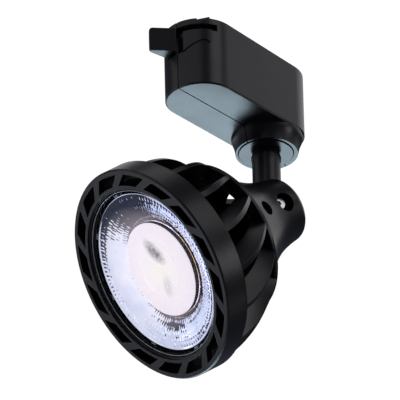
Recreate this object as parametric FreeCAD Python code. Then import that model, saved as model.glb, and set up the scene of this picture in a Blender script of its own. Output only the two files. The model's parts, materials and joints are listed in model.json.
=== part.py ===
"""Track spotlight: adapter box with latch lever, turning stem and tilting turbine head.

Frame: millimetres, +Z up. The origin is on the adapter's top face, where it meets the track, on the
axis that the stem turns about. +X runs along the box to its stem end and -Y is the near side.
The head is modelled on its own axis (origin on the tilt pivot, +Z towards the neck, +Y along the
pivot) and then turned to its rest aim.
"""
import FreeCAD, Part
import math
import os

from FreeCAD import Vector, Placement, Rotation

os.makedirs("parts", exist_ok=True)

# Adapter box
BOX_R = 16.25            # half width, and radius of both rounded ends
LATCH_X = -45.3          # turret axis, centre of the left end
STEM_END_X = 2.3         # centre of the right end
BOX_DEPTH = 32.0         # height at the stem axis
BOTTOM_RISE = 0.041      # slope of the bottom face along X
WALL = 2.0
EDGE = 0.6               # chamfer round the bottom
LID = 2.5                # top plate thickness
SEAM = 0.2               # half the gap between the two shells

SHELL_SCREWS = [(-24.0, -27.5), (-24.0, -6.0), (2.0, -19.0)]   # (x, z)
LID_SCREWS = [(9.0, 8.0), (9.0, -8.0)]                          # (x, y)
TURRET_R = 7.4
TURRET_HEAD = (4.0, 5.9) # half sizes of the block on the turret
TURRET_TURN = 21.0       # how far the block is turned from square with the box

# Collar under the box
RIM_DROP = 8.45          # rim below the box bottom
BUSH_R = 12.3
RECESS_R = 12.65
COLLAR_RINGS = [(16.2, 1.0, -1.0), (16.2, 1.0, 1.0), (15.6, 0.95, 2.6), (14.9, 0.85, 4.6),
                (14.15, 0.6, RIM_DROP)]   # (radius, x, drop below the box bottom)

# Stem
STEM_R = 6.42
SPIGOT_R = 6.1
SHOULDER_R = 6.75
SHOULDER_DROP = 10.6     # shoulder top below the box bottom
STEM_BORE_R = 3.2
PIVOT_DROP = 41.8        # pivot below the box bottom
RUNNING = 0.06           # radial clearance of running fits

KNUCKLE_R = 7.2
PIVOT_SHANK_R = 2.5

# Head, measured backwards from the front face
HEAD_R = 50.0
BAND_DEPTH = 11.2
PIVOT_DEPTH = 72.6
NECK_R = 15.2
NECK_END = 83.9
HOOP_R = 35.8
HOOP_DEPTH = 43.8
FINS = 16
FIN_PHASE = 9.2          # polar angle of one fin's outer edge at the band
FIN_SWEEP = 13.7         # how far a fin turns from band to hoop
FIN_DEPTH = 7.6          # radial depth of a fin
FIN_LEAN = 8.5           # lag of a fin's inner edge, degrees
FIN_LAND = 3.2           # width of a fin's outer land, degrees
SLOT_PHASE = -52.85      # polar angle of one air slot's middle
HEAD_SCREWS = [45, 135, 225, 315]
GLASS_R = 39.5
REFLECTOR_R = 37.6
OPTIC_R = 21.1
NECK_WALL = 2.6
SLOT_HALF = 7.2          # half width of the stem slot in the neck
SLOT_FRONT = 63.0 - PIVOT_DEPTH
SEAT_Y = 9.4             # seats of the pivot screw and its nut
HOLE_TURN = 5.5          # how far the neck's screw holes turn round from the pivot axis
EARTH_Z = 57.3 - PIVOT_DEPTH
EARTH_SEAT = 16.4        # seat of the earth screw

# Rest aim
TILT = 53.4              # neck axis from the vertical
PAN = -26.7              # beam heading from -X

BOTTOM_Z = -BOX_DEPTH
PIVOT_Z = BOTTOM_Z - PIVOT_DROP
RIM_Z = BOTTOM_Z - RIM_DROP
WEB_LOW = RIM_Z + 3.25
WEB_TOP = WEB_LOW + 2.7
STEM_TOP = WEB_TOP + 7.6
Z_AXIS = Vector(0, 0, 1)
Y_AXIS = Vector(0, 1, 0)


def cyl(radius, low, high, x=0.0, y=0.0):
    """Upright cylinder between two heights."""
    return Part.makeCylinder(radius, high - low, Vector(x, y, low), Z_AXIS)


def cyl_y(radius, start, end, x=0.0, z=0.0):
    """Cylinder along Y."""
    return Part.makeCylinder(radius, end - start, Vector(x, start, z), Y_AXIS)


def tube(outer, inner, low, high, x=0.0, y=0.0):
    return cyl(outer, low, high, x, y).cut(cyl(inner, low - 1, high + 1, x, y))


def box(x0, x1, y0, y1, z0, z1):
    return Part.makeBox(x1 - x0, y1 - y0, z1 - z0, Vector(x0, y0, z0))


def prism(points, low, high):
    """Upright prism over a closed outline of (x, y) points."""
    wire = Part.makePolygon([Vector(x, y, low) for x, y in points + points[:1]])
    return Part.Face(wire).extrude(Vector(0, 0, high - low))


def obround(radius, low, high):
    """Rounded box over the two end centres."""
    middle = box(LATCH_X, STEM_END_X, -radius, radius, low, high)
    ends = [cyl(radius, low, high, x=LATCH_X), cyl(radius, low, high, x=STEM_END_X)]
    return middle.multiFuse(ends).removeSplitter()


def revolve(points):
    """Solid of revolution about Z of a closed outline of (radius, height) points."""
    wire = Part.makePolygon([Vector(r, 0, z) for r, z in points + points[:1]])
    return Part.Face(wire).revolve(Vector(0, 0, 0), Z_AXIS, 360)


def hexagon(corner_r, low, high):
    corners = [(corner_r * math.cos(math.radians(60 * k)), corner_r * math.sin(math.radians(60 * k)))
               for k in range(6)]
    return prism(corners, low, high)


def polar(radius, degrees, z=0.0):
    angle = math.radians(degrees)
    return Vector(radius * math.cos(angle), radius * math.sin(angle), z)


def turned(shape, degrees, x=0.0, y=0.0):
    """Copy turned about an upright axis."""
    copy = shape.copy()
    copy.rotate(Vector(x, y, 0), Z_AXIS, degrees)
    return copy


def under_bottom(lift):
    """Wedge of space under the sloping bottom face, raised by lift."""
    outline = [Vector(-90, -40, 0), Vector(60, -40, 0), Vector(60, -40, 0), Vector(-90, -40, 0)]
    heights = [-70, -70, BOTTOM_Z + 60 * BOTTOM_RISE + lift, BOTTOM_Z - 90 * BOTTOM_RISE + lift]
    corners = [Vector(point.x, point.y, height) for point, height in zip(outline, heights)]
    face = Part.Face(Part.makePolygon(corners + corners[:1]))
    return face.extrude(Vector(0, 80, 0))


# ---------------------------------------------------------------- adapter

def adapter_outside():
    """Rounded box with its chamfered sloping bottom, and the collar that narrows to its rim."""
    body = obround(BOX_R, -45, 0).cut(under_bottom(0))
    bottom = min(body.Faces, key=lambda face: face.CenterOfMass.z)
    body = body.makeChamfer(EDGE, bottom.Edges)
    rings = [Part.Wire(Part.makeCircle(radius, Vector(x, 0, BOTTOM_Z - drop)))
             for radius, x, drop in COLLAR_RINGS]
    collar = Part.makeLoft(rings, True, True)
    core = cyl(15.2, BOTTOM_Z - 0.5, BOTTOM_Z + 2.0, x=1.0)
    return body.multiFuse([collar, core]).removeSplitter()


def latch_window():
    """Slot that the lever's arm sweeps in, with the deeper opening at its root."""
    sector = [(LATCH_X, 0)]
    sector += [(LATCH_X + 30 * math.cos(math.radians(180 + b)), 30 * math.sin(math.radians(180 + b)))
               for b in range(-30, 69, 14)]
    slot = prism(sector, -6.1, -2.9)
    root = [(LATCH_X, 0)]
    root += [(LATCH_X + 30 * math.cos(math.radians(180 + b)), 30 * math.sin(math.radians(180 + b)))
             for b in (-26, -7, 12)]
    opening = prism(root, -16.6, -2.9)
    reach = tube(BOX_R + 3, BOX_R - WALL - 1.5, -17, -2.5, x=LATCH_X)
    return slot.fuse(opening).common(reach)


def rim_notch():
    """Shallow notch in the end wall's top edge, beside the turret."""
    edges = [polar(30, degrees) for degrees in (214.5, 222.7, 231.0)]
    sector = [(LATCH_X, 0)] + [(LATCH_X + edge.x, edge.y) for edge in edges]
    return prism(sector, -1.2, 1.0).common(tube(BOX_R + 3, BOX_R - WALL - 0.2, -2, 2, x=LATCH_X))


def thumb_ledge():
    """Raised lip under the slot, with an arched end."""
    band = tube(BOX_R + 0.55, BOX_R - 0.5, -16.6, -6.1, x=LATCH_X)
    outline = [(12, -6.1), (12, -16.4), (18.4, -15.0), (32, -12.9), (42, -11.6), (47, -11.2),
               (51, -11.5), (55, -12.6), (57.5, -10.5), (59, -6.1)]
    corners = [Vector(0, BOX_R * math.radians(b - 34), z) for b, z in outline]
    plate = Part.Face(Part.makePolygon(corners + corners[:1])).extrude(Vector(22, 0, 0))
    plate.rotate(Vector(0, 0, 0), Z_AXIS, 180 + 34)
    plate.translate(Vector(LATCH_X, 0, 0))
    return band.common(plate)


def shell_bosses():
    """Pillars across the box for the screws that join its halves, and blocks for the lid screws."""
    pillars = [cyl_y(3.2, -BOX_R + 0.4, BOX_R - 0.4, x=x, z=z) for x, z in SHELL_SCREWS]
    lid_blocks = [box(6.5, 11.5, -14, -5.6, -12.0, -LID), box(6.5, 11.5, 5.6, 14, -12.0, -LID)]
    return pillars + lid_blocks


def adapter_shells():
    """The near and far half shells."""
    outside = adapter_outside().fuse(thumb_ledge())
    cavity = obround(BOX_R - WALL, -45, 1).cut(under_bottom(WALL))
    recess = cyl(RECESS_R, RIM_Z - 1, WEB_LOW, x=0)
    well = cyl(11.2, WEB_TOP, BOTTOM_Z + 6)
    hole = cyl(6.6, WEB_LOW - 1, WEB_TOP + 1)
    shell = outside.cut(cavity)
    shell = shell.cut(recess.multiFuse([well, hole, latch_window(), rim_notch()]))
    pillars = [pillar.common(obround(BOX_R - 0.4, -45, -LID)) for pillar in shell_bosses()]
    stop_post = box(9.2, 11.9, -1.4, 1.4, WEB_TOP - 0.5, STEM_TOP - 1.0)
    shell = shell.multiFuse(pillars + [stop_post])
    for x, z in SHELL_SCREWS:
        shell = shell.cut(cyl_y(1.3, -BOX_R + 2.6, BOX_R + 1, x=x, z=z))
        shell = shell.cut(cyl_y(2.6, BOX_R - 3.0, BOX_R + 1, x=x, z=z))
    for x, y in LID_SCREWS:
        shell = shell.cut(cyl(1.25, -9.0, 1, x, y))
    near = shell.common(box(-90, 60, -40, -SEAM, -60, 5))
    far = shell.common(box(-90, 60, SEAM, 40, -60, 5))
    return near, far


def shell_screws():
    """Countersunk self-tapping screws from the far side."""
    screws = []
    for x, z in SHELL_SCREWS:
        shank = cyl_y(1.3, -BOX_R + 2.6, BOX_R - 3.0, x=x, z=z)
        head = cyl_y(2.5, BOX_R - 3.0, BOX_R - 1.2, x=x, z=z)
        drive = cyl_y(0.9, BOX_R - 2.2, BOX_R, x=x, z=z)
        screws.append(shank.fuse(head).cut(drive))
    return Part.makeCompound(screws)


def top_plate():
    """Lid with the turret bore and the tongue that enters the track."""
    plate = obround(BOX_R - WALL, -LID, 0)
    tongue = box(-32, -8, -7.6, 7.6, -0.5, 8.0)
    tongue = tongue.makeFillet(1.2, [e for e in tongue.Edges if abs(e.CenterOfMass.z - 8.0) < 0.01])
    groove = box(-29, -11, -1.0, 1.0, 3.0, 9.0)
    plate = plate.fuse(tongue).cut(groove)
    plate = plate.cut(cyl(TURRET_R + RUNNING, -LID - 1, 1, x=LATCH_X))
    for x, y in LID_SCREWS:
        plate = plate.cut(cyl(1.25, -LID - 1, 1, x, y))
        plate = plate.cut(cyl(2.3, -1.4, 1, x, y))
    return plate


def top_plate_screws():
    screws = []
    for x, y in LID_SCREWS:
        shank = cyl(1.25, -9.0, -1.4, x, y)
        head = cyl(2.2, -1.4, -0.2, x, y).cut(cyl(0.8, -0.9, 0.5, x, y))
        screws.append(shank.fuse(head))
    return Part.makeCompound(screws)


def earth_spring():
    """Bent brass strip in the tongue's groove."""
    leaf = box(-28, -12, -0.4, 0.4, 3.0, 9.2)
    foot = box(-28, -25, -0.9, 0.9, 3.0, 4.0)
    return leaf.fuse(foot)


def turret_block(half_x, half_y, low, high):
    """Block centred on the turret's axis and turned with its head."""
    return turned(box(LATCH_X - half_x, LATCH_X + half_x, -half_y, half_y, low, high), TURRET_TURN, x=LATCH_X)


def thumb_paddle():
    """Paddle outside the box, with rounded tip corners."""
    low, high, reach = -15.4, -3.4, 12.16
    outline = [(-71.1, 8.4), (-70.2, 9.3), (-61.2, 7.3), (-62.1, 4.6), (-62.7, 1.6), (-62.5, -0.2)]
    side = [(-6, low), (reach - 1.0, low), (reach - 0.3, low + 0.3), (reach, low + 1.0), (reach, high - 1.6),
            (reach - 0.45, high - 0.45), (reach - 1.6, high), (-6, high)]
    half = math.sqrt(0.5)
    corners = [Vector(-62.5 - half * u - 4 * half, -0.2 + half * u - 4 * half, z) for u, z in side]
    clip = Part.Face(Part.makePolygon(corners + corners[:1])).extrude(Vector(12 * half, 12 * half, 0))
    keep_out = cyl(BOX_R + 0.95, -20, 0, x=LATCH_X)
    return prism(outline, low, high).common(clip).cut(keep_out)


def turret_lever():
    """Latch turret: hub under the lid, post and block through it, arm in the slot and thumb paddle."""
    hub = cyl(13.2, -14.2, -2.9, x=LATCH_X).cut(cyl(10.6, -15, -5.6, x=LATCH_X))
    post = cyl(TURRET_R, -2.9, 1.2, x=LATCH_X).fuse(cyl(4.2, -14.2, -2.9, x=LATCH_X))
    head = turret_block(*TURRET_HEAD, 1.2, 7.2)
    arm = prism([(-46, 4), (-62.3, 7.1), (-64.5, 4.0), (-62.9, 2.4), (-46, 0.5)], -5.7, -3.4)
    lever = hub.multiFuse([post, head, arm, thumb_paddle()]).removeSplitter()
    return lever.cut(turret_block(9, 2.6, 2.1, 3.3)).cut(turret_block(0.7, 9, 4.6, 6.4))


def lock_wing():
    """Steel blade through the turret's block that hooks over the track's lips."""
    return turret_block(8.8, 2.6, 2.1, 3.3).common(cyl(8.8, 1, 5, x=LATCH_X))


def contact_blades():
    """Line and neutral contact tongues, one at each end of the turret's block."""
    tongues = turret_block(0.7, 6.9, 4.6, 6.4).cut(cyl(1.2, 4, 7, x=LATCH_X))
    return Part.makeCompound(tongues.Solids)


def collar_bush():
    """Smooth disc in the collar's mouth that the stem turns in, standing just proud of the rim."""
    disc = cyl(BUSH_R, RIM_Z - 0.5, WEB_LOW)
    return disc.cut(cyl(SPIGOT_R + RUNNING, RIM_Z - 1, WEB_LOW + 1))


def driver_board():
    """Circuit board standing on edge in the box, clear of the turret and the stem nut."""
    return box(-28, -11.5, -10.5, -8.9, -30.0, -9.2).cut(cyl_y(3.8, -12, -8, x=-24.0, z=-27.5))


def driver_transformer():
    core = box(-20, -12.5, -8.9, 2.0, -27.0, -14.0)
    return core.cut(box(-18.6, -13.9, -6.5, 2.5, -24.6, -16.4))


def driver_coil():
    return box(-18.4, -14.1, -6.3, 1.6, -24.4, -16.6)


def driver_capacitors():
    """Two cans lying across the board."""
    return Part.makeCompound([cyl_y(3.4, -8.9, 3.5, x=-25.3, z=-19.5), cyl_y(2.2, -8.9, -1.0, x=-21.0, z=-11.8)])


def driver_chips():
    chips = [box(-27.5, -23.5, -12.2, -10.5, -17.0, -13.0), box(-18.5, -13.5, -12.0, -10.5, -22.0, -18.0)]
    return Part.makeCompound(chips)


# ---------------------------------------------------------------- stem

def stem_tube():
    """Hollow stem: threaded spigot in the collar, shoulder, and plain tube down to the knuckle."""
    foot = PIVOT_Z + 7.6
    shoulder = BOTTOM_Z - SHOULDER_DROP
    outline = [(STEM_BORE_R, STEM_TOP), (SPIGOT_R - 0.5, STEM_TOP), (SPIGOT_R, STEM_TOP - 0.5),
               (SPIGOT_R, shoulder), (SHOULDER_R - 0.2, shoulder), (SHOULDER_R, shoulder - 0.2),
               (SHOULDER_R, shoulder - 1.6), (STEM_R, shoulder - 3.4), (STEM_R, foot), (STEM_BORE_R, foot)]
    return revolve(outline)


def stem_nut():
    nut = hexagon(8.8, WEB_TOP + 1.2, WEB_TOP + 4.6)
    return nut.cut(cyl(SPIGOT_R, WEB_TOP, WEB_TOP + 6))


def friction_washer():
    return tube(8.6, SPIGOT_R, WEB_TOP + 0.3, WEB_TOP + 1.2)


def stop_ring():
    """Tabbed ring that meets the stop post in the collar well."""
    ring = tube(8.0, SPIGOT_R, WEB_TOP + 4.6, WEB_TOP + 6.2)
    tab = box(-10.6, -7.0, -1.1, 1.1, WEB_TOP + 4.6, WEB_TOP + 6.2)
    return turned(ring.fuse(tab), PAN)


def stem_knuckle():
    """Eye at the stem's foot that the pivot screw passes through; made beam-down, on the pivot."""
    eye = cyl_y(KNUCKLE_R, -6.2, 6.2)
    block = box(-5.2, 5.2, -4.6, 4.6, 0, 7.6)
    spigot = cyl(STEM_BORE_R, 7.0, 12.0)
    eye = eye.multiFuse([block, spigot]).removeSplitter()
    wire_way = box(-1.6, 1.6, -7, -3.4, 3.0, 13.0)
    return eye.cut(cyl_y(PIVOT_SHANK_R + RUNNING, -7, 7)).cut(wire_way)


def pivot_washers():
    sides = [cyl_y(5.8, 6.2, 6.9), cyl_y(5.8, -6.9, -6.2)]
    return Part.makeCompound([side.cut(cyl_y(PIVOT_SHANK_R + RUNNING, -7, 7)) for side in sides])


def stem_wires():
    """Two insulated leads inside the stem."""
    low = PIVOT_Z + 12.6
    return Part.makeCompound([cyl(0.9, low, STEM_TOP + 2.5, 0, 1.3), cyl(0.9, low, STEM_TOP + 2.5, 0, -1.3)])


# ---------------------------------------------------------------- head

def depth(t):
    """Height on the head's axis of a point t behind the front face."""
    return t - PIVOT_DEPTH


def front_ring():
    """Bezel with its sixteen raked air slots, outer band and lens seat."""
    outline = [(40.9, 0.0), (49.3, 0.0), (HEAD_R, 0.7), (HEAD_R, BAND_DEPTH), (47.9, BAND_DEPTH),
               (47.9, 3.0), (42.1, 3.0), (42.1, BAND_DEPTH), (38.6, BAND_DEPTH), (38.6, 4.4),
               (40.1, 4.4), (40.1, 1.2), (40.9, 1.2)]
    ring = revolve([(r, depth(t)) for r, t in outline])
    ring = ring.cut(Part.makeCompound([air_slot(k) for k in range(FINS)]))
    bosses = [cyl(3.1, depth(7.0), depth(BAND_DEPTH), *polar(37.0, a)[:2]) for a in HEAD_SCREWS]
    ring = ring.multiFuse(bosses)
    return ring.cut(Part.makeCompound([cyl(1.3, depth(8.0), depth(12), *polar(37.0, a)[:2]) for a in HEAD_SCREWS]))


def air_slot(index):
    """One slot: its outer end leads its inner end, as the fins do."""
    centre = SLOT_PHASE + index * 360 / FINS
    inner, outer, half, rake = 42.3, 47.5, 8.1, 3.6
    corners = [polar(inner, centre - half - rake), polar(inner, centre + half - rake),
               polar(outer, centre + half + rake), polar(outer, centre - half + rake)]
    middle_in = polar(inner, centre - rake)
    middle_out = polar(outer, centre + rake)
    edges = [Part.Arc(corners[0], middle_in, corners[1]).toShape(),
             Part.LineSegment(corners[1], corners[2]).toShape(),
             Part.Arc(corners[2], middle_out, corners[3]).toShape(),
             Part.LineSegment(corners[3], corners[0]).toShape()]
    face = Part.Face(Part.Wire(edges))
    slot = face.extrude(Vector(0, 0, 8))
    slot.translate(Vector(0, 0, depth(-2)))
    return slot


def fin_radius(t):
    """Outer radius of the fins: full at the band and drawn in to the hoop."""
    s = (t - BAND_DEPTH) / (HOOP_DEPTH - BAND_DEPTH)
    return 48.7 - (48.7 - HOOP_R) * (0.28 * s + 0.72 * s ** 2.4)


def fin(index):
    """One turbine fin, lofted through slanted sections that turn as they go back."""
    sections = []
    steps = 6
    for k in range(steps + 1):
        t = BAND_DEPTH + (HOOP_DEPTH + 0.6 - BAND_DEPTH) * k / steps
        s = min((t - BAND_DEPTH) / 31.0, 1.05)
        edge = FIN_PHASE + index * 360 / FINS - FIN_SWEEP * s ** 2
        outer = fin_radius(t)
        inner = outer - FIN_DEPTH
        z = depth(t)
        corners = [polar(outer, edge, z), polar(outer - 0.5, edge + FIN_LAND, z),
                   polar(inner, edge + FIN_LAND - FIN_LEAN, z), polar(inner, edge - FIN_LEAN, z)]
        sections.append(Part.makePolygon(corners + corners[:1]))
    return Part.makeLoft(sections, True, False)


def trumpet(offset):
    """Flared neck as a solid of revolution, shrunk by offset."""
    flare = [(34.0, 45.2), (28.4, 50.4), (23.2, 57.6), (20.4, 62.4), (17.9, 68.0), (16.0, 75.0)]
    points = [Vector(r - offset, 0, depth(t)) for r, t in flare]
    points.append(Vector(NECK_R - offset, 0, depth(80.0 - offset)))
    curve = Part.BSplineCurve()
    curve.interpolate(points)
    round_r = 4.2
    end = NECK_END - offset
    side = Vector(NECK_R - offset, 0, depth(end - round_r))
    shoulder = Vector(NECK_R - offset - round_r, 0, depth(end))
    knee = Vector(side.x - round_r * (1 - math.sqrt(0.5)), 0, side.z + round_r * math.sqrt(0.5))
    low = Vector(points[0].x, 0, depth(43.4) - 0.6 * offset)
    edges = [Part.LineSegment(Vector(0, 0, low.z), low).toShape(),
             Part.LineSegment(low, points[0]).toShape(),
             curve.toShape(),
             Part.LineSegment(points[-1], side).toShape(),
             Part.Arc(side, knee, shoulder).toShape(),
             Part.LineSegment(shoulder, Vector(0, 0, shoulder.z)).toShape(),
             Part.LineSegment(Vector(0, 0, shoulder.z), Vector(0, 0, low.z)).toShape()]
    return Part.Face(Part.Wire(edges)).revolve(Vector(0, 0, 0), Z_AXIS, 360)


def rear_rim():
    """Rim behind the front ring, with its inner collar and four screw ears."""
    rim = tube(48.7, 40.8, depth(BAND_DEPTH), depth(13.0))
    collar = tube(42.6, 40.8, depth(BAND_DEPTH), depth(16.2))
    ears = []
    for angle in HEAD_SCREWS:
        ear = cyl(3.6, depth(14.0), depth(16.2), 37.0, 0)
        ear = ear.fuse(box(37.0, 41.4, -3.6, 3.6, depth(14.0), depth(16.2)))
        ears.append(turned(ear, angle))
    body = rim.multiFuse([collar] + ears)
    for angle in HEAD_SCREWS:
        body = body.cut(cyl(1.6, depth(13), depth(17), *polar(37.0, angle)[:2]))
    return body


def neck_casting():
    """Hoop that gathers the fins, and the hollow flared neck with its pivot cheeks."""
    hoop_line = [(27.5, 42.6), (HOOP_R - 0.4, 42.6), (HOOP_R, 43.0), (HOOP_R, 44.4), (HOOP_R - 0.8, 45.2),
                 (27.5, 45.4)]
    hoop = revolve([(r, depth(t)) for r, t in hoop_line])
    neck = trumpet(0).cut(trumpet(NECK_WALL))
    cheeks = [cyl_y(6.4, SLOT_HALF, NECK_R - 0.6), cyl_y(6.4, -NECK_R + 0.6, -SLOT_HALF)]
    earth_boss = turned(cyl_y(4.8, -26.0, 1.8 - EARTH_SEAT, z=EARTH_Z), HOLE_TURN).common(trumpet(0))
    body = hoop.multiFuse([neck, earth_boss] + cheeks)
    side_slot = box(-30, 0, -SLOT_HALF, SLOT_HALF, SLOT_FRONT, depth(90))
    end_slot = box(-1, 7.4, -SLOT_HALF, SLOT_HALF, 4.0, depth(90))
    body = body.cut(side_slot.fuse(end_slot))
    body = body.cut(cyl_y(PIVOT_SHANK_R, -16, 16))
    body = body.cut(turned(cyl_y(4.75, -NECK_R - 4, -SEAT_Y, z=0.55), HOLE_TURN))
    body = body.cut(cyl_y(3.75, -13.0, -SEAT_Y))
    body = body.cut(cyl_y(5.0, SEAT_Y, NECK_R + 1))
    body = body.cut(turned(cyl_y(3.6, -28, -EARTH_SEAT, z=EARTH_Z), HOLE_TURN))
    return body.cut(turned(cyl_y(1.6, -EARTH_SEAT - 1, 3 - EARTH_SEAT, z=EARTH_Z), HOLE_TURN))


def cooling_fins(rim, neck):
    """Sixteen turbine fins, each butted to the rim in front and to the hoop behind."""
    joined = rim.fuse(neck)
    fins = []
    for index in range(FINS):
        blade = fin(index).cut(joined)
        fins.append(max(blade.Solids, key=lambda solid: solid.Volume))
    return Part.makeCompound(fins)


def pivot_screw():
    """Cap screw on the tilt axis, head sunk in the near cheek."""
    shank = cyl_y(PIVOT_SHANK_R, -SEAT_Y, 13.4)
    top = -SEAT_Y - 3.0
    head = cyl_y(3.4, top, -SEAT_Y)
    head = head.makeChamfer(0.4, [e for e in head.Edges if abs(e.CenterOfMass.y - top) < 0.01])
    socket = hexagon(1.25, 0, 1.6)
    socket.rotate(Vector(0, 0, 0), Vector(1, 0, 0), -90)
    socket.translate(Vector(0, top - 0.2, 0))
    return shank.fuse(head).cut(socket)


def pivot_nut():
    nut = hexagon(4.7, 0, 3.2)
    nut.rotate(Vector(0, 0, 0), Vector(1, 0, 0), -90)
    nut.translate(Vector(0, SEAT_Y, 0))
    return nut.cut(cyl_y(PIVOT_SHANK_R, 8, 14))


def earth_screw():
    """Black cap screw in the neck's forward hole."""
    head = cyl_y(2.8, -EARTH_SEAT - 2.4, -EARTH_SEAT, z=EARTH_Z)
    head = head.cut(cyl_y(1.3, -EARTH_SEAT - 3, -EARTH_SEAT - 1.2, z=EARTH_Z))
    return turned(head.fuse(cyl_y(1.6, -EARTH_SEAT, 2.4 - EARTH_SEAT, z=EARTH_Z)), HOLE_TURN)


def lens_glass():
    """Clear front disc with a polished edge."""
    outline = [(0, 1.5), (39.1, 1.5), (GLASS_R, 1.9), (GLASS_R, 3.3), (0, 3.3)]
    return revolve([(r, depth(t)) for r, t in outline])


def lens_gasket():
    return tube(40.0, 38.8, depth(3.3), depth(4.4))


def lens_clips():
    """Eight clear spring tabs between the gasket and the reflector's rim."""
    clips = []
    for k in range(8):
        tab = box(37.7, 38.5, -1.3, 1.3, depth(3.4), depth(6.4))
        clips.append(turned(tab, 12 + 45 * k))
    return Part.makeCompound(clips)


def reflector():
    """Bowl reflector: wide shallow band, then a steep throat down to the light source."""
    front = [(REFLECTOR_R, 3.5), (33.5, 4.9), (29.0, 6.5), (24.6, 8.6), (23.0, 9.6)]
    throat = [(18.5, 13.0), (14.0, 19.0)]
    back = [(14.0, 20.0), (12.9, 20.0), (12.9, 19.0)]
    inside = [(17.5, 12.4), (22.3, 8.9), (24.0, 7.8), (28.6, 5.6), (33.2, 4.0), (36.8, 3.5)]
    outer = [(r, depth(t + 0.9)) for r, t in front[1:]] + [(r + 0.9, depth(t)) for r, t in throat]
    line = [(REFLECTOR_R, depth(3.5)), (REFLECTOR_R, depth(4.6))] + outer
    line += [(r, depth(t)) for r, t in back + inside]
    return revolve(line)


def centre_optic():
    """Frosted lens over the light source, domed forward."""
    curve = Part.Arc(Vector(0, 0, depth(5.4)), Vector(11.5, 0, depth(6.1)), Vector(OPTIC_R, 0, depth(8.2)))
    edges = [curve.toShape(),
             Part.LineSegment(Vector(OPTIC_R, 0, depth(8.2)), Vector(OPTIC_R, 0, depth(9.4))).toShape(),
             Part.LineSegment(Vector(OPTIC_R, 0, depth(9.4)), Vector(0, 0, depth(9.4))).toShape(),
             Part.LineSegment(Vector(0, 0, depth(9.4)), Vector(0, 0, depth(5.4))).toShape()]
    return Part.Face(Part.Wire(edges)).revolve(Vector(0, 0, 0), Z_AXIS, 360)


def optic_holder():
    """Dark ring that holds the centre lens, standing just proud of the reflector."""
    return tube(22.2, OPTIC_R, depth(6.9), depth(8.9))


def led_plate():
    """Aluminium disc that carries the light source."""
    plate = cyl(40.7, depth(BAND_DEPTH), depth(14.0)).cut(cyl(23.2, depth(10), depth(15)))
    for angle in HEAD_SCREWS:
        plate = plate.cut(cyl(1.6, depth(10), depth(15), *polar(37.0, angle)[:2]))
    return plate


def heat_core():
    """Finned aluminium core behind the light source."""
    outline = [(0, 21.8), (20.0, 21.8), (20.0, 14.0), (28.0, 14.0), (28.0, 23.4), (13.0, 23.4)]
    for t in (26.0, 29.0, 32.0):
        outline += [(13.0, t), (21.0, t), (21.0, t + 1.4), (13.0, t + 1.4)]
    outline += [(13.0, 36.0), (0, 36.0)]
    core = revolve([(r, depth(t)) for r, t in outline])
    return core


def led_board():
    return box(-13.5, 13.5, -13.5, 13.5, depth(20.6), depth(21.6))


def led_emitter():
    return cyl(9.0, depth(20.0), depth(20.6))


def thermal_pad():
    return box(-13.5, 13.5, -13.5, 13.5, depth(21.6), depth(21.8))


def head_screws():
    screws = []
    for angle in HEAD_SCREWS:
        x, y, _ = polar(37.0, angle)
        shank = cyl(1.3, depth(8.0), depth(16.2), x, y)
        head = cyl(2.7, depth(16.2), depth(18.2), x, y)
        screws.append(shank.fuse(head).cut(cyl(1.1, depth(17.2), depth(19), x, y)))
    return Part.makeCompound(screws)


def head_wires():
    """Leads from the neck to the light source, inside the neck."""
    return Part.makeCompound([cyl(0.9, depth(36.0), depth(57.0), 6.0, y) for y in (-1.4, 1.4)])


AIM = Placement(Vector(0, 0, PIVOT_Z), Rotation(Z_AXIS, PAN).multiply(Rotation(Y_AXIS, TILT)))
HEADING = Placement(Vector(0, 0, PIVOT_Z), Rotation(Z_AXIS, PAN))


def placed(shape, placement):
    copy = shape.copy()
    copy.transformShape(placement.toMatrix())
    return copy


def build():
    near, far = adapter_shells()
    nodes = {
        "adapter_shell_near": near,
        "adapter_shell_far": far,
        "shell_screws": shell_screws(),
        "top_plate": top_plate(),
        "top_plate_screws": top_plate_screws(),
        "earth_spring": earth_spring(),
        "collar_bush": collar_bush(),
        "driver_board": driver_board(),
        "driver_transformer": driver_transformer(),
        "driver_coil": driver_coil(),
        "driver_capacitors": driver_capacitors(),
        "driver_chips": driver_chips(),
        "turret_lever": turret_lever(),
        "lock_wing": lock_wing(),
        "contact_blades": contact_blades(),
        "stem_tube": stem_tube(),
        "stem_nut": stem_nut(),
        "friction_washer": friction_washer(),
        "stop_ring": stop_ring(),
        "stem_wires": stem_wires(),
    }
    on_stem = {"stem_knuckle": stem_knuckle(), "pivot_washers": pivot_washers()}
    rim = rear_rim()
    neck = neck_casting()
    on_head = {
        "front_ring": front_ring(),
        "rear_rim": rim,
        "cooling_fins": cooling_fins(rim, neck),
        "neck_casting": neck,
        "pivot_screw": pivot_screw(),
        "pivot_nut": pivot_nut(),
        "earth_screw": earth_screw(),
        "lens_glass": lens_glass(),
        "lens_gasket": lens_gasket(),
        "lens_clips": lens_clips(),
        "reflector": reflector(),
        "centre_optic": centre_optic(),
        "optic_holder": optic_holder(),
        "led_plate": led_plate(),
        "heat_core": heat_core(),
        "led_board": led_board(),
        "led_emitter": led_emitter(),
        "thermal_pad": thermal_pad(),
        "head_screws": head_screws(),
        "head_wires": head_wires(),
    }
    nodes.update({name: placed(shape, HEADING) for name, shape in on_stem.items()})
    nodes.update({name: placed(shape, AIM) for name, shape in on_head.items()})
    return nodes


for name, shape in build().items():
    shape.exportStep("parts/" + name + ".step")
    print(name, "valid", shape.isValid(), "solids", len(shape.Solids), "volume", round(shape.Volume, 1))
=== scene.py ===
import json
import math

import bmesh
import bpy
from mathutils import Matrix, Vector


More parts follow.
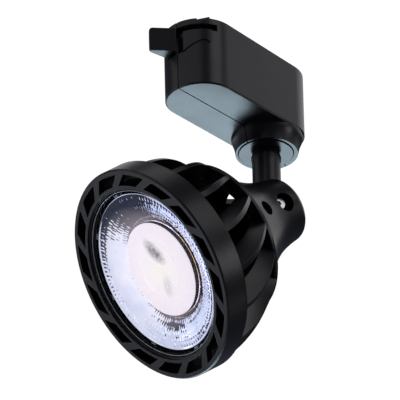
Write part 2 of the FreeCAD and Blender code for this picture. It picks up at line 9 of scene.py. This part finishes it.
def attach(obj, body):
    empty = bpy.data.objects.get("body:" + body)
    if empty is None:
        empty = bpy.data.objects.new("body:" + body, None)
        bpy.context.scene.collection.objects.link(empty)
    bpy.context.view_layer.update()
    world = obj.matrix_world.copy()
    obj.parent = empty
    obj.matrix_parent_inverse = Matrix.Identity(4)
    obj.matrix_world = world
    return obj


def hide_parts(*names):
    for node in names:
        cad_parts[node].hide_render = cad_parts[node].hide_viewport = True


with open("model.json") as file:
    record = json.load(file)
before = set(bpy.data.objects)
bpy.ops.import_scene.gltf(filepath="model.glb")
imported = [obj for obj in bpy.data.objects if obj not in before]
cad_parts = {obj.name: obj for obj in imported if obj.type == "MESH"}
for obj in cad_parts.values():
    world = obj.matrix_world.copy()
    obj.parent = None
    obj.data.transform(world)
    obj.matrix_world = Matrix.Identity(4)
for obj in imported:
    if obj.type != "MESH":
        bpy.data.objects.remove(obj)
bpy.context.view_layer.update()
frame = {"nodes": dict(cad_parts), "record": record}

# The head's own frame: origin on the tilt pivot, +Z back along the neck, +Y along the pivot.
PIVOT = Vector((0.0, 0.0, -0.0738))
TILT = math.radians(53.4)
PAN = math.radians(-26.7)
PIVOT_BEHIND_FACE = 72.6
HEAD_AIM = Matrix.Translation(PIVOT) @ Matrix.Rotation(PAN, 4, "Z") @ Matrix.Rotation(TILT, 4, "Y")

# Parts of the head, in millimetres. Depths are behind its front face.
GLASS_EDGE_R = 39.3
GLASS_EDGE_DEPTH = 1.66
GLASS_EDGE_ROUND = 0.2
GLASS_EDGE_STEPS = 160
BOWL_OUTER_R = 37.6
BOWL_OUTER_DEPTH = 3.5
BOWL_INNER_R = 12.9
PILLOW_HEIGHT = 0.085
PILLOW_SKIN = 0.3
OPTIC_R = 21.1
OPTIC_STEPS = 96

# The camera's view: which way is level and upright in it, its slight roll, and what it is aimed at.
VIEW_LEVEL = Vector((0.6285, -0.7778, 0.0))
VIEW_UPRIGHT = Vector((-0.4052, -0.3275, 0.8536))
VIEW_ROLL = 0.0249
VIEW_TARGET = Vector((0, 0, -0.032))
VIEW_SHIFT_RIGHT = -0.0653 / 2.2186
VIEW_SHIFT_UP = -0.0626 / 2.2186
VIEW_WIDTH = 0.1803
LENS = 1000.0
SENSOR = 36.0

LAMP_MIDDLE = Vector((-0.01, 0, -0.07))
FLOOR_DEPTH = 5.0
FLOOR_HALF_SIZE = 200.0
WHITE = (1.0, 1.0, 1.0)


# ---------------------------------------------------------------- camera, light and floor

def set_camera():
    """Long lens from below, to the near left of the lamp."""
    right = (VIEW_LEVEL - VIEW_ROLL * VIEW_UPRIGHT).normalized()
    up = (VIEW_UPRIGHT + VIEW_ROLL * VIEW_LEVEL).normalized()
    back = right.cross(up).normalized()
    middle = VIEW_TARGET + VIEW_SHIFT_RIGHT * right + VIEW_SHIFT_UP * up
    lens = bpy.data.cameras.new("camera")
    lens.lens = LENS
    lens.sensor_width = SENSOR
    lens.clip_start = 0.05
    lens.clip_end = 60.0
    away = VIEW_WIDTH * LENS / SENSOR
    camera = bpy.data.objects.new("camera", lens)
    turn = Matrix((right, up, back)).transposed().to_4x4()
    camera.matrix_world = Matrix.Translation(middle + away * back) @ turn
    bpy.context.scene.collection.objects.link(camera)
    bpy.context.scene.camera = camera
    return right, up, back


def soft_box(name, towards, distance, width, height, strength, colour):
    """Rectangular soft light that faces the lamp from the given direction."""
    panel = bpy.data.lights.new(name, "AREA")
    panel.shape = "RECTANGLE"
    panel.size = width
    panel.size_y = height
    panel.energy = strength * width * height * math.pi
    panel.color = colour
    light = bpy.data.objects.new(name, panel)
    direction = towards.normalized()
    light.location = LAMP_MIDDLE + distance * direction
    light.rotation_mode = "QUATERNION"
    light.rotation_quaternion = direction.to_track_quat("Z", "Y")
    light.visible_camera = False
    bpy.context.scene.collection.objects.link(light)
    return light


def set_light(right, up, back):
    """Studio light: strips at the side, sheets above, below, behind and at the left, in a dim surround."""
    def aim(across, rise, front):
        return across * right + rise * up + front * back

    def bar(name, towards, lengthwise, *rest):
        light_bar(name, aim(*towards), aim(*lengthwise), *rest)

    def box(name, towards, *rest):
        soft_box(name, aim(*towards), *rest)

    # name, direction, distance, width, height, strength, colour
    box("side strip", (0.957, 0.137, 0.257), 1.2, 0.34, 0.42, 2.6, (1.0, 0.98, 1.0))
    box("high side sheet", (0.835, 0.352, -0.424), 1.3, 0.9, 0.6, 0.42, (0.98, 0.95, 1.0))
    box("low side strip", (0.822, -0.556, 0.118), 1.3, 0.16, 0.5, 1.8, (1.0, 0.97, 1.0))
    box("low sheet", (-0.02, -0.87, -0.49), 1.4, 0.9, 0.75, 5.4, (0.67, 0.87, 1.0))
    box("high sheet", (0.64, 0.74, 0.21), 1.4, 0.8, 0.7, 0.95, WHITE)
    box("upper left fill", (-0.42, 0.85, 0.32), 1.5, 1.5, 1.1, 0.36, (1.0, 0.99, 1.0))
    box("top back sheet", (0.0, 0.88, -0.48), 1.5, 0.7, 0.6, 0.7, WHITE)
    # name, direction, direction of the long side, distance, length, thickness, strength, colour
    bar("back sheet", (0.30, 0.29, -0.91), (1, 0, 0.3), 1.6, 1.9, 0.9, 0.8, WHITE)
    bar("left sheet", (-0.78, -0.47, 0.41), (0.53, -0.85, 0), 1.4, 2.0, 1.20, 0.80, (0.95, 0.95, 1.0))
    bar("far left sheet", (-0.80, -0.17, -0.57), (0.41, -0.20, -0.52), 1.5, 1.15, 0.5, 0.95, (0.82, 0.86, 1.0))
    bar("inner left sheet", (-0.94, -0.27, -0.14), (0.34, -0.92, 0.0), 1.45, 0.70, 0.52, 0.80, (0.90, 0.91, 1.0))
    bar("lower left strip", (-0.57, -0.45, -0.69), (0.41, -0.20, -0.52), 1.5, 0.80, 0.34, 1.1, (0.76, 0.81, 1.0))
    bar("upper left sheet", (-0.86, 0.46, -0.14), (0.2, 0.1, 0.97), 1.5, 0.9, 0.6, 0.42, (1.0, 0.98, 1.0))

    world = bpy.data.worlds.new("surround")
    bpy.context.scene.world = world
    world.use_nodes = True
    nodes, links = world.node_tree.nodes, world.node_tree.links
    shown = nodes.new("ShaderNodeBackground")
    shown.inputs["Color"].default_value = (1, 1, 1, 1)
    shown.inputs["Strength"].default_value = 1.05
    dim = nodes["Background"]
    dim.inputs["Color"].default_value = (0.66, 0.72, 1.0, 1)
    dim.inputs["Strength"].default_value = 0.07
    seen = camera_or(nodes, links, dim.outputs[0], shown.outputs[0])
    links.new(seen, nodes["World Output"].inputs["Surface"])
    bpy.context.scene.view_settings.view_transform = "Standard"


def light_bar(name, towards, lengthwise, distance, length, thickness, strength, colour):
    """Rectangular soft light whose long side runs along a given direction."""
    bar = soft_box(name, towards, distance, length, thickness, strength, colour)
    facing = towards.normalized()
    side = (lengthwise - lengthwise.dot(facing) * facing).normalized()
    turn = Matrix((side, facing.cross(side), facing)).transposed()
    bar.rotation_quaternion = turn.to_quaternion()


def along(nodes, links, source, direction):
    """How far a place lies along a direction."""
    dot = nodes.new("ShaderNodeVectorMath")
    dot.operation = "DOT_PRODUCT"
    dot.inputs[1].default_value = direction
    links.new(source, dot.inputs[0])
    return dot.outputs["Value"]


def camera_or(nodes, links, lit, seen):
    """Shader that the camera sees one way and that lights the lamp another way."""
    ray = nodes.new("ShaderNodeLightPath")
    mix = nodes.new("ShaderNodeMixShader")
    links.new(ray.outputs["Is Camera Ray"], mix.inputs[0])
    links.new(lit, mix.inputs[1])
    links.new(seen, mix.inputs[2])
    return mix.outputs[0]


def lay_floor():
    """Plain pale floor, far below the hanging lamp."""
    bm = bmesh.new()
    bmesh.ops.create_grid(bm, x_segments=2, y_segments=2, size=FLOOR_HALF_SIZE)
    bmesh.ops.translate(bm, vec=Vector((0, 0, -FLOOR_DEPTH)), verts=bm.verts)
    floor = bpy.data.objects.new("floor", bpy.data.meshes.new("floor"))
    bm.to_mesh(floor.data)
    bm.free()
    bpy.context.scene.collection.objects.link(floor)
    material, nodes, links, surface = start("floor paint")
    surface.inputs["Base Color"].default_value = (0.80, 0.81, 0.82, 1)
    surface.inputs["Roughness"].default_value = 0.9
    pale = nodes.new("ShaderNodeEmission")
    pale.inputs["Color"].default_value = (0.90, 0.91, 0.92, 1)
    shown = camera_or(nodes, links, surface.outputs[0], pale.outputs[0])
    links.new(shown, nodes["Material Output"].inputs["Surface"])
    floor.data.materials.append(material)


# ---------------------------------------------------------------- finishes

def start(name):
    """New material with its node lists and its surface shader."""
    material = bpy.data.materials.new(name)
    material.use_nodes = True
    nodes, links = material.node_tree.nodes, material.node_tree.links
    return material, nodes, links, nodes["Principled BSDF"]


def object_place(nodes, links, scale=(1, 1, 1), turn=(0, 0, 0)):
    """Object coordinates, turned and then stretched."""
    place = nodes.new("ShaderNodeTexCoord").outputs["Object"]
    for name, setting in (("Rotation", turn), ("Scale", scale)):
        change = nodes.new("ShaderNodeMapping")
        change.inputs[name].default_value = setting
        links.new(place, change.inputs["Vector"])
        place = change.outputs["Vector"]
    return place


def grain(nodes, links, place, scale, detail=3.0):
    """Soft irregular noise."""
    noise = nodes.new("ShaderNodeTexNoise")
    noise.inputs["Scale"].default_value = scale
    noise.inputs["Detail"].default_value = detail
    noise.inputs["Roughness"].default_value = 0.55
    links.new(place, noise.inputs["Vector"])
    return noise.outputs["Fac"]


def between(nodes, links, source, low, high, start_at=0.3, end_at=0.7):
    """Number that runs from low to high as the source goes from start_at to end_at."""
    span = nodes.new("ShaderNodeMapRange")
    span.inputs["From Min"].default_value = start_at
    span.inputs["From Max"].default_value = end_at
    span.inputs["To Min"].default_value = low
    span.inputs["To Max"].default_value = high
    links.new(source, span.inputs["Value"])
    return span.outputs["Result"]


def blend_colours(nodes, links, source, stops):
    """Colour picked from a row of stops by the source's value."""
    ramp = nodes.new("ShaderNodeValToRGB")
    elements = ramp.color_ramp.elements
    while len(elements) < len(stops):
        elements.new(0.5)
    for element, (position, colour) in zip(elements, stops):
        element.position = position
        element.color = (*colour, 1)
    links.new(source, ramp.inputs["Fac"])
    return ramp.outputs["Color"]


def rounded_edges(nodes, radius):
    """Surface direction with the sharp edges softened by a small radius."""
    edge = nodes.new("ShaderNodeBevel")
    edge.samples = 6
    edge.inputs["Radius"].default_value = radius
    return edge.outputs["Normal"]


def relief(nodes, links, surface, height, strength, depth, base=None):
    """Fine surface texture from a height."""
    bump = nodes.new("ShaderNodeBump")
    bump.inputs["Strength"].default_value = strength
    bump.inputs["Distance"].default_value = depth
    links.new(height, bump.inputs["Height"])
    if base is not None:
        links.new(base, bump.inputs["Normal"])
    links.new(bump.outputs["Normal"], surface.inputs["Normal"])


def opaque_finish(name, dark, light, gloss, metal=0.0, cloud=70.0, grain_scale=2600.0,
                  grain_strength=0.16, grain_depth=0.00006, edge=0.00025, stretch=(1, 1, 1), level=0.5):
    """Finish with a slow colour and gloss drift, a fine surface grain and softly rounded edges."""
    material, nodes, links, surface = start(name)
    place = object_place(nodes, links, stretch)
    drift = grain(nodes, links, place, cloud, 4.0)
    links.new(blend_colours(nodes, links, drift, [(0.3, dark), (0.72, light)]), surface.inputs["Base Color"])
    fine = grain(nodes, links, place, grain_scale, 3.0)
    links.new(between(nodes, links, drift, *gloss), surface.inputs["Roughness"])
    surface.inputs["Metallic"].default_value = metal
    surface.inputs["Specular IOR Level"].default_value = level
    relief(nodes, links, surface, fine, grain_strength, grain_depth, rounded_edges(nodes, edge))
    return material


def powder_coat():
    """Satin black powder coat with its fine orange peel."""
    return opaque_finish("black powder coat", (0.0065, 0.006, 0.008), (0.011, 0.0105, 0.0125), (0.36, 0.30),
                         grain_scale=1500.0, grain_strength=0.22, grain_depth=0.00005)


def moulded_housing():
    """Black moulded plastic with a spark-eroded grain."""
    return opaque_finish("black moulded housing", (0.009, 0.009, 0.0105), (0.014, 0.0135, 0.016), (0.34, 0.28),
                         grain_scale=3200.0, grain_strength=0.2, grain_depth=0.00004)


def black_anodised():
    return opaque_finish("black anodised aluminium", (0.008, 0.008, 0.009), (0.016, 0.016, 0.018), (0.42, 0.34),
                         metal=0.2, grain_scale=4200.0)


def plated_steel():
    """Bright zinc-plated steel with fine machining lines."""
    return opaque_finish("plated steel", (0.55, 0.56, 0.58), (0.72, 0.73, 0.74), (0.30, 0.18), metal=1.0,
                         cloud=220.0, grain_scale=900.0, grain_strength=0.1, stretch=(1, 1, 6), edge=0.00015)


def blackened_steel():
    return opaque_finish("blackened steel", (0.022, 0.022, 0.024), (0.05, 0.05, 0.052), (0.42, 0.30), metal=0.9,
                         cloud=260.0, grain_scale=2400.0)


def bright_brass():
    return opaque_finish("bright brass", (0.70, 0.50, 0.21), (0.86, 0.66, 0.32), (0.34, 0.20), metal=1.0,
                         cloud=240.0, grain_scale=1400.0, stretch=(1, 1, 5))


def smooth_bush():
    """Smooth black bush with faint turning marks."""
    return opaque_finish("smooth bush", (0.010, 0.011, 0.013), (0.018, 0.019, 0.022), (0.26, 0.20),
                         cloud=120.0, grain_scale=900.0, grain_strength=0.06, level=0.36)


def nylon():
    return opaque_finish("natural nylon", (0.60, 0.58, 0.52), (0.78, 0.76, 0.71), (0.50, 0.40), cloud=200.0)


def ferrite():
    return opaque_finish("sintered ferrite", (0.035, 0.035, 0.038), (0.085, 0.085, 0.09), (0.62, 0.48),
                         cloud=900.0, grain_scale=5200.0, grain_strength=0.4)


def capacitor_sleeve():
    return opaque_finish("capacitor sleeve", (0.02, 0.03, 0.085), (0.035, 0.05, 0.12), (0.26, 0.20), cloud=160.0)


def chip_epoxy():
    return opaque_finish("chip epoxy", (0.018, 0.018, 0.018), (0.034, 0.034, 0.034), (0.62, 0.52), cloud=700.0,
                         grain_scale=6000.0)


def red_insulation():
    return opaque_finish("red insulation", (0.26, 0.012, 0.012), (0.42, 0.03, 0.025), (0.44, 0.34), cloud=260.0)


def black_gasket():
    return opaque_finish("black gasket", (0.012, 0.012, 0.012), (0.024, 0.024, 0.024), (0.72, 0.58), cloud=400.0)


def ceramic():
    return opaque_finish("white ceramic", (0.74, 0.74, 0.72), (0.86, 0.86, 0.84), (0.42, 0.30), cloud=500.0)


def heat_pad():
    return opaque_finish("heat pad", (0.26, 0.27, 0.30), (0.40, 0.41, 0.44), (0.75, 0.62), cloud=900.0,
                         grain_strength=0.4)


def copper_winding():
    """Enamelled copper wire, laid in close turns."""
    material, nodes, links, surface = start("copper winding")
    place = object_place(nodes, links)
    turns = nodes.new("ShaderNodeTexWave")
    turns.wave_type = "BANDS"
    turns.bands_direction = "Z"
    turns.inputs["Scale"].default_value = 620.0
    turns.inputs["Distortion"].default_value = 0.6
    links.new(place, turns.inputs["Vector"])
    stops = [(0.1, (0.22, 0.07, 0.03)), (0.8, (0.72, 0.34, 0.17))]
    colour = blend_colours(nodes, links, turns.outputs["Fac"], stops)
    links.new(colour, surface.inputs["Base Color"])
    surface.inputs["Metallic"].default_value = 0.9
    links.new(between(nodes, links, grain(nodes, links, place, 800.0), 0.24, 0.36), surface.inputs["Roughness"])
    relief(nodes, links, surface, turns.outputs["Fac"], 0.7, 0.0001)
    return material


def circuit_laminate():
    """Green solder mask over copper tracks."""
    material, nodes, links, surface = start("circuit laminate")
    place = object_place(nodes, links, turn=(math.pi / 2, 0, 0))
    tracks = nodes.new("ShaderNodeTexBrick")
    tracks.inputs["Scale"].default_value = 240.0
    tracks.inputs["Mortar Size"].default_value = 0.035
    tracks.inputs["Color1"].default_value = (0, 0, 0, 1)
    tracks.inputs["Color2"].default_value = (0.12, 0.12, 0.12, 1)
    tracks.inputs["Mortar"].default_value = (1, 1, 1, 1)
    links.new(place, tracks.inputs["Vector"])
    stops = [(0.0, (0.012, 0.09, 0.03)), (1.0, (0.05, 0.26, 0.09))]
    colour = blend_colours(nodes, links, tracks.outputs["Color"], stops)
    links.new(colour, surface.inputs["Base Color"])
    links.new(between(nodes, links, grain(nodes, links, place, 500.0), 0.28, 0.40), surface.inputs["Roughness"])
    relief(nodes, links, surface, tracks.outputs["Color"], 0.3, 0.00004)
    return material


def clear_glass():
    """Polished front glass. Its low index keeps the bowl behind it crisp."""
    material, nodes, links, surface = start("clear glass")
    place = object_place(nodes, links)
    stops = [(0.3, (0.965, 0.98, 0.985)), (0.7, (0.985, 0.99, 0.99))]
    tint = blend_colours(nodes, links, grain(nodes, links, place, 60.0), stops)
    links.new(tint, surface.inputs["Base Color"])
    surface.inputs["Transmission Weight"].default_value = 1.0
    surface.inputs["IOR"].default_value = 1.02
    surface.inputs["Roughness"].default_value = 0.0
    return material


def clear_moulding():
    """Clear moulded tab."""
    material, nodes, links, surface = start("clear moulding")
    place = object_place(nodes, links)
    surface.inputs["Base Color"].default_value = (0.80, 0.83, 0.88, 1)
    surface.inputs["Transmission Weight"].default_value = 0.55
    surface.inputs["IOR"].default_value = 1.49
    links.new(between(nodes, links, grain(nodes, links, place, 900.0), 0.05, 0.18), surface.inputs["Roughness"])
    relief(nodes, links, surface, grain(nodes, links, place, 1200.0), 0.1, 0.00004)
    return material


def bright_reflector():
    """Bright vacuum-metallised reflector with a cool cast, and a painted warm glow of the lit lens's light on it.
    """
    material, nodes, links, surface = start("bright reflector")
    place = object_place(nodes, links)
    stops = [(0.3, (0.72, 0.75, 0.94)), (0.7, (0.88, 0.89, 0.98))]
    tone = blend_colours(nodes, links, grain(nodes, links, place, 160.0), stops)
    links.new(tone, surface.inputs["Base Color"])
    surface.inputs["Metallic"].default_value = 1.0
    links.new(between(nodes, links, grain(nodes, links, place, 420.0), 0.03, 0.07), surface.inputs["Roughness"])
    # Painted glow: a warm pink emission, strongest next to the lens and fading out over a soft oval, stands in for
    # the lens's light on the bowl.
    painted_glow = patch(nodes, links, head_place(nodes, links), (-3.1, 5.1), (31.0, 31.0), 0)
    surface.inputs["Emission Color"].default_value = (1.0, 0.86, 0.91, 1)
    links.new(calc(nodes, links, "MULTIPLY", painted_glow, 0.42), surface.inputs["Emission Strength"])
    relief(nodes, links, surface, grain(nodes, links, place, 1100.0), 0.06, 0.00005)
    return material


def patch(nodes, links, place, centre, size, turn):
    """One inside a soft-edged oval on the lens, in head millimetres, and zero outside it."""
    oval = nodes.new("ShaderNodeMapping")
    oval.vector_type = "TEXTURE"
    oval.inputs["Location"].default_value = (*centre, 0)
    oval.inputs["Rotation"].default_value = (0, 0, math.radians(turn))
    oval.inputs["Scale"].default_value = (*size, 1000)
    links.new(place, oval.inputs["Vector"])
    length = nodes.new("ShaderNodeVectorMath")
    length.operation = "LENGTH"
    links.new(oval.outputs["Vector"], length.inputs[0])
    return between(nodes, links, length.outputs["Value"], 1.0, 0.0, 0.35, 1.0)


def head_place(nodes, links):
    """Object coordinates brought into the head's own frame, in millimetres."""
    back_to_head = (HEAD_AIM @ Matrix.Scale(0.001, 4)).inverted()
    rows = []
    place = nodes.new("ShaderNodeTexCoord").outputs["Object"]
    for row in range(3):
        reach = along(nodes, links, place, back_to_head[row][:3])
        rows.append(calc(nodes, links, "ADD", reach, back_to_head[row][3]))
    joined = nodes.new("ShaderNodeCombineXYZ")
    for row, socket in zip(rows, joined.inputs):
        links.new(row, socket)
    return joined.outputs["Vector"]


def calc(nodes, links, operation, first, second):
    """One sum on two values, each a number or a socket."""
    node = nodes.new("ShaderNodeMath")
    node.operation = operation
    for value, socket in ((first, node.inputs[0]), (second, node.inputs[1])):
        if isinstance(value, (int, float)):
            socket.default_value = value
        else:
            links.new(value, socket)
    return node.outputs["Value"]


def lit_optic():
    """Frosted lens, lit from behind: warmer over the light source, with a dotted moulding and a smudge."""
    material, nodes, links, surface = start("lit frosted optic")
    place = head_place(nodes, links)
    flat = nodes.new("ShaderNodeMapping")
    flat.inputs["Scale"].default_value = (1, 1, 0)
    links.new(place, flat.inputs["Vector"])
    from_axis = nodes.new("ShaderNodeVectorMath")
    from_axis.operation = "LENGTH"
    links.new(flat.outputs["Vector"], from_axis.inputs[0])
    out = between(nodes, links, from_axis.outputs["Value"], 0.0, 1.0, 0.0, OPTIC_R)
    glow = blend_colours(nodes, links, out, [(0.0, (1.0, 0.95, 0.88)), (0.30, (1.0, 0.93, 0.92)),
                                             (0.62, (1.0, 0.90, 0.94)), (1.0, (0.95, 0.86, 0.93))])
    dots = nodes.new("ShaderNodeTexVoronoi")
    dots.inputs["Scale"].default_value = 1.15
    dots.inputs["Randomness"].default_value = 0.25
    links.new(flat.outputs["Vector"], dots.inputs["Vector"])
    spots = between(nodes, links, dots.outputs["Distance"], 1.0, 0.0, 0.20, 0.42)
    dotted_part = patch(nodes, links, flat.outputs["Vector"], (7.9, 1.6), (6.4, 3.9), 47)
    dotted = calc(nodes, links, "MULTIPLY", spots, dotted_part)
    smoke = grain(nodes, links, flat.outputs["Vector"], 0.5)
    smoky_part = patch(nodes, links, flat.outputs["Vector"], (-7.4, -4.4), (9.0, 4.4), -18)
    smudge = calc(nodes, links, "MULTIPLY", smoke, smoky_part)
    shade = calc(nodes, links, "ADD", dotted, calc(nodes, links, "MULTIPLY", smudge, 1.5))
    dim = nodes.new("ShaderNodeMix")
    dim.data_type = "RGBA"
    dim.inputs["B"].default_value = (0.20, 0.18, 0.22, 1)
    links.new(shade, dim.inputs["Factor"])
    links.new(glow, dim.inputs["A"])
    links.new(dim.outputs["Result"], surface.inputs["Emission Color"])
    links.new(dim.outputs["Result"], surface.inputs["Base Color"])
    surface.inputs["Emission Strength"].default_value = 0.62
    links.new(between(nodes, links, smoke, 0.20, 0.32), surface.inputs["Roughness"])
    relief(nodes, links, surface, spots, 0.25, 0.00012)
    return material


def dark_holder():
    return opaque_finish("dark holder", (0.032, 0.027, 0.027), (0.052, 0.045, 0.045), (0.30, 0.20), cloud=300.0)


def yellow_phosphor():
    """Yellow phosphor gel over the light source."""
    return opaque_finish("yellow phosphor", (0.60, 0.46, 0.16), (0.72, 0.58, 0.26), (0.42, 0.30), cloud=900.0,
                         grain_scale=3000.0)


def make_finishes():
    """Every finish, by the material slot it serves."""
    return {
        "housing_black": moulded_housing(), "coat_black": powder_coat(), "anodised_black": black_anodised(),
        "steel": plated_steel(), "black_steel": blackened_steel(), "brass": bright_brass(),
        "copper": copper_winding(), "bush_grey": smooth_bush(), "nylon": nylon(),
        "board_green": circuit_laminate(), "ferrite": ferrite(), "capacitor_sleeve": capacitor_sleeve(),
        "chip_black": chip_epoxy(), "wire_red": red_insulation(), "clear_glass": clear_glass(),
        "clear_plastic": clear_moulding(), "gasket_black": black_gasket(), "bright_metal": bright_reflector(),
        "frosted_optic": lit_optic(), "holder_grey": dark_holder(), "ceramic_white": ceramic(),
        "phosphor": yellow_phosphor(), "pad_grey": heat_pad(),
    }


def finish_cad_nodes(finishes):
    """Each CAD piece takes the finish of its record slot, and shades smoothly over its curved faces."""
    for row in frame["record"]["subparts"]:
        node = frame["nodes"][row["node"]]
        finish = finishes[row["material_slot"]]
        if node.material_slots:
            for slot in node.material_slots:
                slot.material = finish
        else:
            node.data.materials.append(finish)
        node.data.shade_smooth()
        weld = node.modifiers.new("join facets", "WELD")
        weld.merge_threshold = 0.000002
        split = node.modifiers.new("keep edges", "EDGE_SPLIT")
        split.split_angle = math.radians(28)


# ---------------------------------------------------------------- pieces made here

def finish_piece(name, bm, body, finish, nodes):
    """Puts a mesh made in the head's millimetres in place, as a named piece that rides on a body."""
    bmesh.ops.transform(bm, matrix=HEAD_AIM @ Matrix.Scale(0.001, 4), verts=bm.verts)
    for face in bm.faces:
        face.smooth = True
    mesh = bpy.data.meshes.new(name)
    bm.to_mesh(mesh)
    bm.free()
    mesh.materials.append(finish)
    piece = bpy.data.objects.new(name, mesh)
    bpy.context.scene.collection.objects.link(piece)
    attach(piece, body)
    if nodes:
        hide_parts(*nodes)


def spun(profile, steps, close=False):
    """Mesh turned about Z from a line of (radius, depth behind the front face)."""
    bm = bmesh.new()
    verts = [bm.verts.new((r, 0, t - PIVOT_BEHIND_FACE)) for r, t in profile]
    edges = [bm.edges.new(pair) for pair in zip(verts, verts[1:])]
    if close:
        edges.append(bm.edges.new((verts[-1], verts[0])))
    bmesh.ops.spin(bm, geom=verts + edges, cent=(0, 0, 0), axis=(0, 0, 1), angle=math.tau, steps=steps,
                   use_merge=True)
    bmesh.ops.remove_doubles(bm, verts=bm.verts, dist=0.001)
    bmesh.ops.recalc_face_normals(bm, faces=bm.faces)
    return bm


def bowl_line(radius):
    """Depth of the reflector's bright face at a radius."""
    stops = [(BOWL_INNER_R, 19.0), (17.5, 12.6), (22.3, 9.1), (24.0, 7.9), (28.6, 5.7), (33.2, 4.15), (36.4, 3.62),
             (BOWL_OUTER_R, BOWL_OUTER_DEPTH)]
    for (r0, t0), (r1, t1) in zip(stops, stops[1:]):
        if radius <= r1:
            return t0 + (t1 - t0) * (radius - r0) / (r1 - r0)
    return BOWL_OUTER_DEPTH


def scatter(row, cell, turn):
    """Fixed irregular number between -1 and 1 for one pillow."""
    mixed = math.sin(row * 127.1 + cell * 311.7 + turn * 74.7) * 43758.5453
    return 2 * (mixed - math.floor(mixed)) - 1


def hammered_reflector(finish):
    """Bowl reflector whose bright face is beaten into staggered rows of small uneven pillows."""
    first, last, rows, cells, parts = 13.4, 36.4, 9, 120, 5
    rings = [first + (last - first) * k / (rows * parts) for k in range(rows * parts + 1)]
    profile = [(BOWL_INNER_R, 20.0), (BOWL_INNER_R, 19.0)] + [(r, bowl_line(r)) for r in rings]
    profile += [(36.7, 3.5), (36.95, 3.4), (37.2, 3.38), (37.45, 3.46), (BOWL_OUTER_R, 3.7), (BOWL_OUTER_R, 4.6),
                (33.5, 5.8), (29.0, 7.4), (24.6, 9.5), (23.0, 10.5), (19.4, 13.0), (14.9, 19.0), (14.0, 20.0)]
    bm = spun(profile, cells * parts, close=True)
    bm.normal_update()
    pillows = []
    for vert in bm.verts:
        radius = math.hypot(vert.co.x, vert.co.y)
        depth = vert.co.z + PIVOT_BEHIND_FACE
        if first < radius < last and depth < bowl_line(radius) + PILLOW_SKIN:
            outward = (radius - first) / (last - first) * rows
            row = int(outward + 1e-6)
            around = (math.atan2(vert.co.y, vert.co.x) / math.tau) * cells + 0.5 * (row % 2)
            cell = math.floor(around + 1e-6)
            u = 2 * (around - cell) - 1
            v = 2 * (outward - row) - 1
            cell = cell % cells
            lean = 1 + 0.9 * (scatter(row, cell, 1) * u + scatter(row, cell, 2) * v)
            height = PILLOW_HEIGHT * (1 + 0.6 * scatter(row, cell, 3)) * lean
            pillows.append((vert, vert.normal * height * max(0.0, 1 - u * u) * max(0.0, 1 - v * v)))
    for vert, lift in pillows:
        vert.co += lift
    finish_piece("hammered_reflector", bm, "head", finish, ["reflector"])


def polished_edge(finish):
    """Ground and polished corner round the front glass."""
    turns = [math.tau * k / 8 for k in range(8)]
    profile = [(GLASS_EDGE_R + GLASS_EDGE_ROUND * math.cos(turn),
                GLASS_EDGE_DEPTH + GLASS_EDGE_ROUND * math.sin(turn)) for turn in turns]
    bm = spun(profile, GLASS_EDGE_STEPS, close=True)
    finish_piece("polished_edge", bm, "head", finish, [])


def moulded_optic(finish):
    """Frosted lens: a low dome inside a stepped rim."""
    profile = [(0.0, 5.4), (4.0, 5.43), (8.0, 5.52), (12.2, 5.68), (12.9, 5.78), (13.2, 5.98), (13.6, 6.02),
               (17.0, 6.14), (20.4, 6.34), (21.7, 6.5), (22.1, 6.66), (22.1, 6.86), (21.05, 6.88), (21.05, 9.4),
               (0.0, 9.4)]
    bm = spun(profile, OPTIC_STEPS)
    finish_piece("moulded_optic", bm, "head", finish, ["centre_optic"])


def make_pieces(finishes):
    """The shaped pieces that stand in for, or add to, the plain ones of the head."""
    hammered_reflector(finishes["bright_metal"])
    moulded_optic(finishes["frosted_optic"])
    polished_edge(finishes["clear_plastic"])


# ---------------------------------------------------------------- the lamp

right, up, back = set_camera()
set_light(right, up, back)
lay_floor()
finishes = make_finishes()
finish_cad_nodes(finishes)
make_pieces(finishes)
